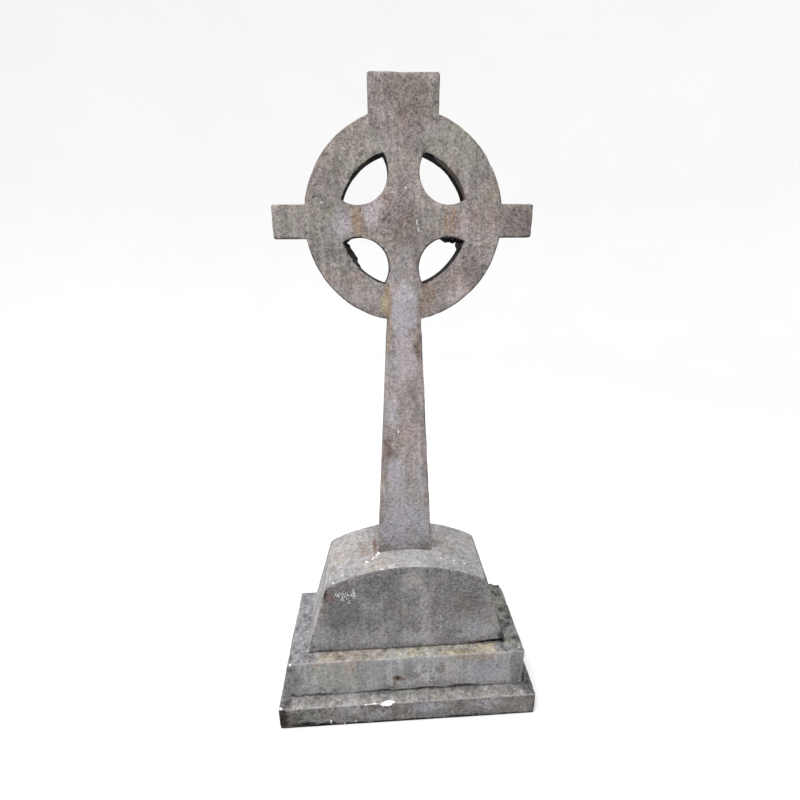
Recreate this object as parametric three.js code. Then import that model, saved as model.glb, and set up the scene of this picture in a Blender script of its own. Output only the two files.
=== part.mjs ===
// A ringed cross memorial: a tall tapering shaft that carries a pierced ring and a cross,
// standing on a block with an arched crown, a step and a base slab.
// Millimetres, +Z up, the front facing -Y, the origin at the middle of the underside.

import * as THREE from 'three';
import { mergeVertices } from 'three/addons/utils/BufferGeometryUtils.js';

// Base slab
const slabWidth = 858;
const slabDepth = 406;
const slabHeight = 86;

// Step
const stepWidth = 784;
const stepDepth = 322;
const stepHeight = 147;

// Block: its front is a trapezium under an arched crown
const blockFootWidth = 674;
const blockShoulderWidth = 518;
const blockDepth = 246;
const shoulderHeight = 265;
const crownRise = 68;

// Cross: the shaft runs from the crown to the ring, the ring carries arms and head
const crossThickness = 76;
const shaftFootWidth = 177;
const shaftNeckWidth = 93;
const crownToRingCentre = 1008;
const ringOuterRadius = 255;
const ringInnerRadius = 164;
const hollowRadius = 76;
const armReach = 335;
const armHeight = 84;
const headWidth = 173;
const headReach = 326;

// Worn edges and corners
const slabEdge = 4;
const blockEdge = 4;
const crossEdge = 3;
const planCorner = 7;
const crossCorner = 7;

// Each upper piece stands this far clear of the one below
const bedGap = 0.3;

// Levels of the tops, from the ground
const slabTop = slabHeight;
const stepTop = slabTop + stepHeight;
const shoulderLevel = stepTop + shoulderHeight;
const crownTop = shoulderLevel + crownRise;
const ringCentre = crownTop + crownToRingCentre;

// The crown is an arc through both shoulders and the crown's top
const crownRadius = ((blockShoulderWidth / 2) ** 2 + crownRise ** 2) / (2 * crownRise);
const crownCentre = crownTop - crownRadius;

const stepsPerArc = 8;
const edgeSteps = 2;
const quarterTurn = Math.PI / 2;

// Paint shades of the four pieces, all rough and weathered
const slabGrey = 0x75716d;
const stepGrey = 0x7e7b77;
const blockGrey = 0x76726f;
const crossGrey = 0x8f8884;

// Carries an outline along its axis and eases both rims, the outline being the widest section.
function easedPrism(outline, length, ease) {
  const prism = new THREE.ExtrudeGeometry(outline, {
    depth: length - 2 * ease,
    curveSegments: stepsPerArc,
    bevelEnabled: true,
    bevelThickness: ease,
    bevelSize: ease,
    bevelOffset: -ease,
    bevelSegments: edgeSteps,
  });
  prism.translate(0, 0, ease);
  prism.deleteAttribute('normal');
  prism.deleteAttribute('uv');
  const closed = mergeVertices(prism);
  closed.computeVertexNormals();
  return closed;
}

function stonePiece(name, geometry, colour) {
  const material = new THREE.MeshStandardMaterial({ color: colour, roughness: 0.92, metalness: 0 });
  material.name = name;
  const piece = new THREE.Mesh(geometry, material);
  piece.name = name;
  return piece;
}

// A rectangular course seen from above, with rounded corners, standing on the level below.
function course(name, width, depth, bottom, top, colour) {
  const farX = width / 2 - planCorner;
  const farY = depth / 2 - planCorner;
  const plan = new THREE.Shape();
  plan.absarc(farX, -farY, planCorner, -quarterTurn, 0);
  plan.absarc(farX, farY, planCorner, 0, quarterTurn);
  plan.absarc(-farX, farY, planCorner, quarterTurn, 2 * quarterTurn);
  plan.absarc(-farX, -farY, planCorner, 2 * quarterTurn, 3 * quarterTurn);
  plan.closePath();
  const piece = stonePiece(name, easedPrism(plan, top - bottom, slabEdge), colour);
  piece.position.z = bottom;
  return piece;
}

// Turns a piece whose outline was drawn in X and Y upright, so that it is seen from the front,
// and centres its thickness on the memorial's middle plane.
function standUpright(piece, thickness) {
  piece.rotation.x = quarterTurn;
  piece.position.y = thickness / 2;
  return piece;
}

// The tapered block: foot, sloping sides and the arched crown.
function plinthBlock() {
  const foot = blockFootWidth / 2;
  const shoulder = blockShoulderWidth / 2;
  const shoulderAngle = Math.atan2(shoulderLevel - crownCentre, shoulder);
  const front = new THREE.Shape();
  front.moveTo(-foot, stepTop + bedGap);
  front.lineTo(foot, stepTop + bedGap);
  front.absarc(0, crownCentre, crownRadius, shoulderAngle, Math.PI - shoulderAngle);
  front.closePath();
  const block = stonePiece('plinth_block', easedPrism(front, blockDepth, blockEdge), blockGrey);
  return standUpright(block, blockDepth);
}

// A hollow between two limbs: the overlap of the ring's inner circle and a circle of the hollow's
// radius that is centred on it, on the diagonal at the angle given.
function hollow(diagonal) {
  const halfChord = Math.acos(hollowRadius / (2 * ringInnerRadius));
  const halfSpan = 2 * Math.asin(hollowRadius / (2 * ringInnerRadius));
  const centreX = ringInnerRadius * Math.cos(diagonal);
  const centreZ = ringCentre + ringInnerRadius * Math.sin(diagonal);
  const inward = diagonal + Math.PI;
  const opening = new THREE.Path();
  opening.absarc(0, ringCentre, ringInnerRadius, diagonal - halfSpan, diagonal + halfSpan);
  opening.absarc(centreX, centreZ, hollowRadius, inward - halfChord, inward + halfChord);
  opening.closePath();
  return opening;
}

// The square end of a limb, drawn anticlockwise: two worn corners at its reach from the ring's centre.
function limbEnd(outline, direction, reach, halfWidth) {
  const along = reach - crossCorner;
  const across = halfWidth - crossCorner;
  const cos = Math.cos(direction);
  const sin = Math.sin(direction);
  for (const side of [-1, 1]) {
    const x = along * cos - side * across * sin;
    const z = ringCentre + along * sin + side * across * cos;
    const start = direction + (side < 0 ? -quarterTurn : 0);
    outline.absarc(x, z, crossCorner, start, start + quarterTurn);
  }
}

// Shaft, ring, arms and head as one outline, pierced by the four hollows.
function cross() {
  const shaftFoot = shaftFootWidth / 2;
  const footAngle = Math.acos(shaftFoot / (crownRadius + bedGap));
  const neckAngle = Math.asin(shaftNeckWidth / 2 / ringOuterRadius);
  const armAngle = Math.asin(armHeight / 2 / ringOuterRadius);
  const headAngle = Math.asin(headWidth / 2 / ringOuterRadius);
  const right = 0;
  const up = quarterTurn;
  const left = 2 * quarterTurn;
  const down = 3 * quarterTurn;
  const ringStretch = (from, to) => outline.absarc(0, ringCentre, ringOuterRadius, from, to);

  const outline = new THREE.Shape();
  outline.absarc(0, crownCentre, crownRadius + bedGap, Math.PI - footAngle, footAngle, true);
  ringStretch(down + neckAngle - 2 * Math.PI, right - armAngle);
  limbEnd(outline, right, armReach, armHeight / 2);
  ringStretch(right + armAngle, up - headAngle);
  limbEnd(outline, up, headReach, headWidth / 2);
  ringStretch(up + headAngle, left - armAngle);
  limbEnd(outline, left, armReach, armHeight / 2);
  ringStretch(left + armAngle, down - neckAngle);
  outline.closePath();
  for (const quadrant of [0, 1, 2, 3]) {
    outline.holes.push(hollow(quarterTurn / 2 + quadrant * quarterTurn));
  }
  const piece = stonePiece('cross', easedPrism(outline, crossThickness, crossEdge), crossGrey);
  return standUpright(piece, crossThickness);
}

const memorial = new THREE.Group();
memorial.name = 'ringed_cross_memorial';
memorial.add(course('base_slab', slabWidth, slabDepth, 0, slabTop, slabGrey));
memorial.add(course('plinth_step', stepWidth, stepDepth, slabTop + bedGap, stepTop, stepGrey));
memorial.add(plinthBlock());
memorial.add(cross());

export default memorial;
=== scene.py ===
import math

import bmesh
import bpy
import numpy as np
from mathutils import Matrix, Vector


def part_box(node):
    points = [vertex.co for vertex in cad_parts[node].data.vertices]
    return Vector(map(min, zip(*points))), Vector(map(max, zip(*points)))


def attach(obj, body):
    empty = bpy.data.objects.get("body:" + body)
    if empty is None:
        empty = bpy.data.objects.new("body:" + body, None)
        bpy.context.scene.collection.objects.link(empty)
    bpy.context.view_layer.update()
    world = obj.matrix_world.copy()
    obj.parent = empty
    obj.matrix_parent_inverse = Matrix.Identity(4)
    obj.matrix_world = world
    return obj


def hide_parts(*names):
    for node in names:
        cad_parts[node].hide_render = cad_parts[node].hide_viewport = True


bl_info = {
    "name": "Ringed Cross Memorial",
    "version": (1, 0, 0),
    "blender": (4, 5, 0),
    "location": "3D View > Sidebar > Memorial",
    "description": "A weathered ringed cross on an arched block, a step and a base slab",
    "category": "Object",
}

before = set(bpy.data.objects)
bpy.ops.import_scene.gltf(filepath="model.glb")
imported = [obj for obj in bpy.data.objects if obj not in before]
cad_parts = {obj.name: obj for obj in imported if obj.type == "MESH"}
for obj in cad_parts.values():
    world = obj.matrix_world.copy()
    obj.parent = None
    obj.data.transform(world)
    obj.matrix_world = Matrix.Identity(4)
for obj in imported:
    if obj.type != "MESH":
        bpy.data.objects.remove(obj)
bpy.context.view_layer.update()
BODY = "root"
MM = 0.001
QUARTER = math.pi / 2


def node_box(node):
    """The lowest and highest corner of a solid, as numpy arrays in metres."""
    low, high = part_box(node)
    return np.array(low), np.array(high)


CROSS_LOW, CROSS_HIGH = node_box("cross")
BLOCK_LOW, BLOCK_HIGH = node_box("plinth_block")
STEP_LOW, STEP_HIGH = node_box("plinth_step")
SLAB_LOW, SLAB_HIGH = node_box("base_slab")


def linear(code):
    """A colour written as an sRGB hex code, as linear red, green and blue."""
    parts = [int(code[i:i + 2], 16) / 255 for i in (1, 3, 5)]
    return tuple(c / 12.92 if c <= 0.04045 else ((c + 0.055) / 1.055) ** 2.4 for c in parts)


# Sizes and colours that a user would change


def length(name, text, millimetres):
    """A length that a user can change, with its default in millimetres."""
    return bpy.props.FloatProperty(name=name, description=text, default=millimetres * MM, unit="LENGTH")


def colour(name, text, code):
    """A colour that a user can change, with its default as an sRGB hex code."""
    return bpy.props.FloatVectorProperty(
        name=name, description=text, default=linear(code), size=3, subtype="COLOR", min=0, max=1)


class CrossSizes(bpy.types.PropertyGroup):
    """The cross's own proportions; its height, thickness and reach come from the frame."""

    ring_outer: length("Ring outer radius", "Outside of the ring", 255)
    ring_inner: length("Ring inner radius", "Inside of the ring", 164)
    hollow: length("Hollow radius", "Rounded hollows where the limbs cross", 76)
    head_reach: length("Head reach", "From the ring's centre to the top", 326)
    head_width: length("Head width", "Width of the head above the ring", 173)
    arm_height: length("Arm height", "Height of the arms outside the ring", 84)
    neck_width: length("Neck width", "Shaft where it meets the ring", 93)
    foot_width: length("Foot width", "Shaft where it stands on the crown", 177)
    corner: length("Corner", "Radius of the worn corners of the limbs", 7)
    edge: length("Worn edge", "How far the sharp edges are worn back", 4)


class PlinthSizes(bpy.types.PropertyGroup):
    """The plinth's proportions that the frame's boxes don't hold."""

    shoulder_width: length("Shoulder width", "Width of the block under its crown", 518)
    crown_rise: length("Crown rise", "Height of the arched crown", 68)
    corner: length("Corner", "Radius of the upright corners of step and slab", 7)
    shoulder_corner: length("Shoulder corner", "Rounding where the block's sides meet its crown", 12)
    edge: length("Worn edge", "How far the edges of the courses are worn back", 4.5)


class CoatFinish(bpy.types.PropertyGroup):
    """Relief and paint of the textured coat."""

    swell: length("Swell", "Broad unevenness from trowelling", 0.5)
    tooth: length("Tooth", "Height of the coarse sand texture", 0.4)
    pits: length("Pits", "Depth of the scattered pits", 1.5)
    nicks: length("Nicks", "Depth of the nicks along the edges", 2.8)
    waver: length("Waver", "How far the edges wander", 0.9)
    scoops: length("Scoops", "Depth of the white chips", 4.5)
    cross_grey: colour("Cross grey", "Body paint of the cross", "#7d7774")
    block_grey: colour("Block grey", "Body paint of the plinth block", "#6f6e6f")
    step_grey: colour("Step grey", "Body paint of the step", "#858586")
    slab_grey: colour("Slab grey", "Body paint of the base slab", "#6b6968")
    pink_brown: colour("Pink brown", "Warm mottling", "#86706b")
    blue_grey: colour("Blue grey", "Cool mottling", "#87868c")
    # The pale and lilac tints also paint light: level tops, sides that face the lamps, and edges that face up
    # and to the left
    pale_wash_and_light: colour("Pale wash", "Rain-washed, dusty patches of the plinth", "#a4a2a1")
    lilac_wash_and_light: colour("Lilac wash", "Rain-washed, dusty patches of the cross", "#a69fa4")
    ochre: colour("Ochre", "Rusty runs below the hollows", "#827161")
    umber: colour("Umber", "Brown smears", "#604f49")
    moss: colour("Moss", "Green tinge of algae", "#767867")
    lichen: colour("Lichen", "Yellow lichen on the ledge", "#9c9376")
    # The soot also paints shade: the black walls of the cross's hollows, and the edges that face away from
    # the light
    soot_and_shade: colour("Soot", "Black grime in joints and hollows", "#080605")
    bare_core: colour("Bare core", "White core where the coat has chipped off", "#e6e6e4")


# Steady noise on whole arrays


# The noise's cells are turned off the axes, so that no rows of them show
TURN = np.array(Matrix.Rotation(0.9, 3, Vector((0.4, 0.7, 0.6)).normalized()))


def scattered(cells, seed):
    """A steady random number from 0 to 1 for each whole-numbered cell of space."""
    x, y, z = (cells[:, i].astype(np.int64) for i in range(3))
    mixed = (x * 374761393 + y * 668265263 + z * 1103515245 + seed * 974634777) & 0xFFFFFFFF
    mixed = ((mixed ^ (mixed >> 13)) * 1274126177) & 0xFFFFFFFF
    mixed ^= mixed >> 16
    return (mixed & 0xFFFFFF) / 0xFFFFFF


def cloud(points, size, seed, octaves=1):
    """Smooth noise from -1 to 1: random numbers at the corners of turned cells of the size given,
    blended with a quintic ease; each further octave is half as large and half as high."""
    total = np.zeros(len(points))
    height, reach = 1.0, 0.0
    for octave in range(octaves):
        at = points @ TURN * (2 ** octave / size) + 7.31 * seed
        cell = np.floor(at)
        part = at - cell
        ease = part ** 3 * (part * (part * 6 - 15) + 10)
        for corner in np.ndindex(2, 2, 2):
            weight = np.where(np.array(corner) == 1, ease, 1 - ease).prod(axis=1)
            total += height * weight * (2 * scattered(cell + corner, seed + octave) - 1)
        reach += height
        height /= 2
    return total / reach * 1.6


def smooth(low, high, value):
    """0 below low, 1 above high, and an even S curve between."""
    share = np.clip((value - low) / (high - low), 0, 1)
    return share * share * (3 - 2 * share)


# Grids


def graded(width, pitch, worn):
    """Shares from 0 to 1 of a width: a few close steps over the worn strip at each end, then even ones."""
    close = worn * np.array([0, 0.1, 0.28, 0.55, 0.85])
    middle = np.linspace(1.25 * worn, width - 1.25 * worn, max(2, round(width / pitch)))
    return np.concatenate([close, middle, width - close[::-1]]) / width


def arc(centre, radius, start, end, share):
    """Points of an arc about a centre, from the start angle to the end angle, at the shares given."""
    angle = start + (end - start) * share
    return np.stack([centre[0] + radius * np.cos(angle), centre[1] + radius * np.sin(angle)], axis=1)


def straight(start, end, share):
    """Points of a straight line at the shares given."""
    return np.array(start) + np.outer(share, np.subtract(end, start))


def ruled(first, second, share):
    """A grid of straight rungs between two curves, each rung cut at the shares given."""
    return first[:, None] + (second - first)[:, None] * share[None, :, None]


def turned(points, angle):
    """Points turned about the ring's centre."""
    cos, sin = math.cos(angle), math.sin(angle)
    return points @ np.array([[cos, sin], [-sin, cos]])


def square_corners(corners):
    """Corners about the middle of a rectangle, each with the directions of its two edges."""
    return [((x, y), (-np.sign(x), 0), (0, -np.sign(y))) for x, y in corners]


def round_corners(points, corners, radius):
    """Squeezes each corner onto an arc. Counted along the corner's two edges, a point lies at a and b
    from the far ends of a square of the radius; both are scaled by the larger over their hypotenuse."""
    points = points.copy()
    for corner, *edges in corners:
        edges = np.array(edges, dtype=float)
        local = 1 - (points - np.array(corner)) @ np.linalg.inv(edges) / radius
        near = (local > 1e-6).all(axis=-1) & (local < 1.02).all(axis=-1)
        part = local[near]
        part = part * (part.max(axis=-1) / np.hypot(part[..., 0], part[..., 1]))[..., None]
        points[near] = np.array(corner) + (1 - part) @ edges * radius
    return points


def box_inside(points, centre, half, corner):
    """How far each point lies inside a rectangle with rounded corners; negative outside."""
    past = np.abs(points - np.array(centre)) - (np.array(half) - corner)
    outer = np.hypot(*np.maximum(past, 0).T)
    return corner - outer - np.minimum(past.max(axis=1), 0)


class Form:
    """The outline of one piece: grids that cover its face, the edges round it, and how deep
    inside the outline a point lies."""

    def __init__(self, name, thickness, edge, inside, place, back_edge=1.0):
        self.name = name
        self.thickness = thickness
        self.edge = edge
        self.inside = inside
        self.place = place
        self.back_edge = back_edge
        self.patches = []
        self.rims = []


def worn(flat, form):
    """The edge's worn radius, which wanders between three and seven fifths of the size given."""
    spread = np.column_stack([flat, np.zeros(len(flat))])
    return form.edge * (1 + 0.4 * np.clip(cloud(spread, 55 * MM, 11), -1, 1))


def face_height(flat, form, side):
    """Height of one face above the middle plane: level inside, and a quarter circle over the worn edge.
    On the far side the edge is worn by the form's own share of that."""
    radius = worn(flat, form) * (1 if side > 0 else form.back_edge)
    short = np.clip(radius - np.maximum(form.inside(flat), 0), 0, None)
    return form.thickness / 2 - radius + np.sqrt(radius ** 2 - short ** 2)


def sheet_faces(rows, columns, first):
    """Four-sided faces of a grid whose points are numbered row by row from first."""
    index = first + np.arange(rows * columns).reshape(rows, columns)
    quads = np.stack([index[:-1, :-1], index[1:, :-1], index[1:, 1:], index[:-1, 1:]], axis=-1)
    return quads.reshape(-1, 4)


def weld(mesh, distance, outwards=False):
    """Merges the points that meet, and turns the faces outwards where that is asked for."""
    shell = bmesh.new()
    shell.from_mesh(mesh)
    bmesh.ops.remove_doubles(shell, verts=shell.verts, dist=distance)
    if outwards:
        bmesh.ops.recalc_face_normals(shell, faces=shell.faces)
    shell.to_mesh(mesh)
    shell.free()


def closed_mesh(form, pitch):
    """Front and back are the patches, set at the face's height on both sides of the middle plane. Each
    rim runs straight from the front's edge to the back's. Points that meet are merged, and the faces
    are turned outwards."""
    points, faces, count = [], [], 0
    share = graded(form.thickness, pitch, form.edge)
    pieces = [(patch, side) for patch in form.patches for side in (1, -1)]
    pieces += [(rim, 0) for rim in form.rims]
    for part, side in pieces:
        flat = part.reshape(-1, 2)
        if side:
            rows, columns = part.shape[:2]
            solid = np.column_stack([flat, side * face_height(flat, form, side)])
        else:
            rows, columns = len(part), len(share)
            near, far = face_height(flat, form, 1), face_height(flat, form, -1)
            across = near[:, None] - (near + far)[:, None] * share[None]
            solid = np.column_stack([np.repeat(flat, columns, axis=0), across.ravel()])
        points.append(solid)
        faces.append(sheet_faces(rows, columns, count))
        count += len(solid)
    points = form.place(np.concatenate(points))
    faces = np.concatenate(faces)
    mesh = bpy.data.meshes.new(form.name)
    mesh.from_pydata(points, [], faces)
    weld(mesh, 0.02 * MM, outwards=True)
    return mesh


def read(mesh):
    """Places and outward directions of a mesh's points, as arrays."""
    places = np.empty(len(mesh.vertices) * 3)
    mesh.vertices.foreach_get("co", places)
    outward = np.empty(len(mesh.vertices) * 3)
    mesh.vertex_normals.foreach_get("vector", outward)
    return places.reshape(-1, 3), outward.reshape(-1, 3)


# Relief, stains and painted light and shade


# Stains, wear and painted light and shade that the coat's material reads, each from 0 to 1
LAYERS = ("pale", "cool", "shade", "moss", "umber", "ochre", "lichen", "grime", "bare", "scuff", "rim", "dim",
          "hollow", "sky")
LUMP_HEIGHT = 10 * MM


def strongest(points, marks, low, high):
    """The strongest of several soft-edged ovals at each point. An oval is given as its centre and half
    sizes in millimetres and its strength in hundredths, which fades out from low to high times its
    half sizes."""
    axes = points.shape[1]
    found = np.zeros(len(points))
    for mark in marks:
        centre, half = np.array(mark[:axes]) * MM, np.array(mark[axes:-1]) * MM
        away = np.linalg.norm((points - centre) / half, axis=1)
        found = np.maximum(found, mark[-1] / 100 * (1 - smooth(low, high, away)))
    return found


def spots(places, wander, seed, marks):
    """Ovals on the front, given across and up. Their outlines wander with the noise."""
    shift = np.column_stack([cloud(places, 30 * MM, seed + step, 2) for step in (0, 5)])
    return strongest(places[:, [0, 2]] + wander * MM * shift, marks, low=0.45, high=1.35)


def blots(places, wander, seed, marks):
    """The same for ovals anywhere on the piece, given across, back and up."""
    shift = np.column_stack([cloud(places, 20 * MM, seed + step, 2) for step in range(3)])
    return strongest(places + wander * MM * shift, marks, low=0.5, high=1.25)


def patches(places, size, seed, low, high, octaves=2):
    """Soft patches from 0 to 1 where the noise of a size in millimetres rises from low to high."""
    return smooth(low, high, cloud(places, size * MM, seed, octaves))


def marked(places, front, on_front, anywhere):
    """The marks of one piece by layer. Those of its front fade where the surface turns away."""
    found = {layer: spots(places, *table) * front for layer, table in on_front.items()}
    return found | {layer: blots(places, *table) for layer, table in anywhere.items()}


def strengthened(found, further):
    """Raises each layer to the strongest of its marks and of the further stains listed for it."""
    for layer, stains in further.items():
        found[layer] = np.maximum.reduce([found.get(layer, np.zeros(len(stains[0]))), *stains])
    return found


def roughen(mesh, finish, near_edge, fields, still):
    """Moves each point inwards along its normal by the coat's relief: broad swell, sand texture, pits,
    an uneven wear and nicks along the edges, and the chips. Black lumps on the walls of the hollows,
    which stand in for shade there, stand out instead."""
    places, outward = read(mesh)
    swell = finish.swell * (0.5 + 0.5 * np.clip(cloud(places, 130 * MM, 1, 2), -1, 1))
    tooth = finish.tooth * np.clip(0.5 + 0.5 * cloud(places, 9.5 * MM, 2, 2), 0, 1)
    pits = finish.pits * patches(places, 8, 3, 0.7, 1.1, 1) * patches(places, 70, 4, -0.3, 0.5, 1)
    pits *= 1 - 0.8 * np.clip(fields["pale"], 0, 1)
    rim = np.exp(-(near_edge / (5 * MM)) ** 2)
    broad_rim = np.exp(-(near_edge / (9 * MM)) ** 2)
    nicks = finish.nicks * rim * patches(places, 22, 5, 0.4, 1.0, 1)
    waver = finish.waver * broad_rim * patches(places, 45, 6, -0.9, 0.9)
    chips = finish.scoops * fields["bare"]
    # The lumps stand out from the hollow walls, are painted black with them and stand in for shade; the seams
    # are cut in
    raised = LUMP_HEIGHT * (fields.pop("lump", 0) - fields.pop("seam", 0))
    depth = (swell + tooth + pits + nicks + waver + chips - raised) * (1 - still)
    mesh.vertices.foreach_set("co", (places - outward * depth[:, None]).ravel())
    mesh.update()
    up, aside = outward[:, 2], outward[:, 0]
    # The hollow field carries painted shade: the coat is painted darker where the sand texture and pits sink
    # in
    sunken = 0.6 * (tooth / finish.tooth - 0.5) + pits / finish.pits
    fields["hollow"] = 0.5 + np.clip(sunken, -1, 1) / 2
    # Painted highlight on edges facing up and to the left, and painted shade on the other edges, most where
    # they face down or to the right
    fields["rim"] = rim * smooth(0.15, 0.8, 0.85 * up - 0.5 * aside) * patches(places, 40, 7, -0.9, 0.5)
    fields["dim"] = rim * smooth(0.35, -0.1, up - 0.3 * aside) * patches(places, 50, 8, -1.0, 0.2)
    fields["sky"] = np.clip(up, 0, 1)


def keep_fields(mesh, fields):
    """Stores the stains, wear and painted light and shade as named point attributes, which the coat's
    material reads.
    """
    for name in LAYERS:
        values = fields.get(name, np.zeros(len(mesh.vertices)))
        layer = mesh.attributes.new(name, "FLOAT", "POINT")
        layer.data.foreach_set("value", np.clip(values, 0, 1).astype(np.float32))


def show_piece(mesh, node, material):
    """Shows a finished mesh in place of its solid."""
    mesh.materials.append(material)
    mesh.shade_smooth()
    piece = bpy.data.objects.new(node + "_weathered", mesh)
    bpy.context.scene.collection.objects.link(piece)
    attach(piece, BODY)
    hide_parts(node)


def build_piece(form, pitch, finish, stains, material):
    """Makes, roughens, stains and shows one piece. stains is a function of the places on the piece
    before it is roughened, and gives its named fields, with the chips among them."""
    mesh = closed_mesh(form, pitch)
    places, outward = read(mesh)
    flat, height = form.place(places, back=True)
    near_edge = np.maximum(form.inside(flat), form.thickness / 2 - np.abs(height))
    near_edge = np.maximum(near_edge, 0)
    fields = stains(places, outward)
    bedded = (places[:, 2] < 8 * MM) & (outward[:, 2] < -0.3)
    roughen(mesh, finish, near_edge, fields, bedded)
    keep_fields(mesh, fields)
    show_piece(mesh, form.name, material)


def upright(points, back=False):
    """Outline across X and Z, height towards the viewer on -Y; with back, the other way."""
    if back:
        return points[:, [0, 2]], -points[:, 1]
    return np.column_stack([points[:, 0], -points[:, 2], points[:, 1]])


def lying(middle):
    """Outline across X and Y, height along Z about the course's middle level."""
    def place(points, back=False):
        if back:
            return points[:, [0, 1]], points[:, 2] - middle
        return points + np.array([0, 0, middle])
    return place


# The cross


CORE_PITCH = 2.7 * MM
RING_PITCH = 3.5 * MM
ARM_PITCH = 3.2 * MM
CROSS_RIM_PITCH = 4.4 * MM
RING_STEPS, HOLLOW_STEPS, SHAFT_STEPS = 54, 30, 188


def crown_arc(plinth):
    """Radius of the crown and the level of its centre, from the shoulder width and the rise."""
    half = plinth.shoulder_width / 2
    radius = (half ** 2 + plinth.crown_rise ** 2) / (2 * plinth.crown_rise)
    return radius, BLOCK_HIGH[2] - radius


def ring_level(sizes):
    """Level of the ring's centre."""
    return CROSS_HIGH[2] - sizes.head_reach


def cross_form(sizes, plinth):
    """The cross's front is cut into ruled patches: a square core, four limbs that narrow between the
    hollows, the ring in eight pieces, two arms, the head and the tapering shaft. Neighbours share
    their edge points. A quarter is drawn about the ring's centre, turned, and moved to its level."""
    outer, inner, hollow = sizes.ring_outer, sizes.ring_inner, sizes.hollow
    arm, head, neck, foot = (
        width / 2 for width in (sizes.arm_height, sizes.head_width, sizes.neck_width, sizes.foot_width))
    reach, head_reach = CROSS_HIGH[0], sizes.head_reach
    centre = np.array([0, ring_level(sizes)])
    foot_level = CROSS_LOW[2] - centre[1]
    crown_centre = crown_arc(plinth)[1] - centre[1]
    bed = math.hypot(foot, foot_level - crown_centre)
    diagonal = inner * math.sqrt(0.5)

    def inside(flat):
        local = flat - centre
        across, along = np.abs(local[:, 0]), local[:, 1]
        from_centre = np.hypot(*local.T)
        arms = box_inside(local, (0, 0), (reach, arm), sizes.corner)
        top = np.where(along > 0, box_inside(local, (0, 0), (head, head_reach), sizes.corner), -1)
        taper = (foot - neck) / (-outer - foot_level)
        shaft = (neck + taper * (-outer - along) - across) / math.hypot(1, taper)
        shaft = np.where(along < 0, shaft, -1)
        solid = np.maximum.reduce([outer - from_centre, arms, top, shaft])
        pierced = np.minimum(inner - from_centre, hollow - np.hypot(*(np.abs(local) - diagonal).T))
        return np.minimum(solid, -pierced)

    form = Form("cross", CROSS_HIGH[1] - CROSS_LOW[1], sizes.edge, inside, upright)
    ends = [(side * reach, up * arm) for side in (1, -1) for up in (1, -1)]
    corners = square_corners(ends + [(side * head, head_reach) for side in (1, -1)])

    def add_part(parts, points, spin=0):
        parts.append(round_corners(turned(points, spin), corners, sizes.corner) + centre)

    across = graded(2 * arm, CORE_PITCH, sizes.edge)
    radial = graded(outer - inner, RING_PITCH, sizes.edge)
    around = np.linspace(0, 1, RING_STEPS)
    beside_hollow = np.linspace(0, 1, HOLLOW_STEPS)
    half_span = 2 * math.asin(hollow / (2 * inner))
    chord = math.acos(hollow / (2 * inner))
    limb_angle = QUARTER / 2 - half_span
    core = (inner - hollow) * math.sqrt(0.5)
    bottom = straight((-core, -core), (core, -core), across)
    add_part(form.patches, ruled(bottom, bottom * np.array([1, -1]), across))

    # The limbs, from the right one on: where it ends, its half width there and at the ring
    limbs = [(reach, arm, arm), (head_reach, head, head), (reach, arm, arm), (-foot_level, foot, neck)]
    roots = [math.asin(half / outer) for _, _, half in limbs]
    for quarter, (end, half, _) in enumerate(limbs):
        spin = quarter * QUARTER
        root, following = roots[quarter], roots[(quarter + 1) % 4]
        upper = arc((diagonal, diagonal), hollow, -1.5 * QUARTER, -1.5 * QUARTER + chord, beside_hollow)
        lower = upper * np.array([1, -1])
        high_root = straight(upper[-1], (outer * math.cos(root), outer * math.sin(root)), radial)
        low_root = high_root * np.array([1, -1])
        inner_arc = arc((0, 0), inner, limb_angle, QUARTER - limb_angle, around)
        outer_arc = arc((0, 0), outer, root, QUARTER - following, around)
        for first, second, share in (
                (lower, upper, across), (low_root, high_root, across), (inner_arc, outer_arc, radial)):
            add_part(form.patches, ruled(first, second, share), spin)
        for rim in (upper, lower, inner_arc, outer_arc):
            add_part(form.rims, rim, spin)
        if quarter < 3:
            along = graded(end - outer, ARM_PITCH, sizes.edge)
            high = straight(high_root[-1], (end, half), along)
            low = high * np.array([1, -1])
            stub = ruled(low, high, across)
            add_part(form.patches, stub, spin)
            for rim in (stub[-1], high, low):
                add_part(form.rims, rim, spin)
        else:
            neck_line = straight(turned(low_root[-1:], spin)[0], turned(high_root[-1:], spin)[0], across)
            foot_x = foot * (2 * across - 1)
            foot_line = np.column_stack([foot_x, crown_centre + np.sqrt(bed ** 2 - foot_x ** 2)])
            shaft = ruled(neck_line, foot_line, np.linspace(0, 1, SHAFT_STEPS))
            add_part(form.patches, shaft)
            for rim in (shaft[0], shaft[-1], foot_line):
                add_part(form.rims, rim)
    return form


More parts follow.
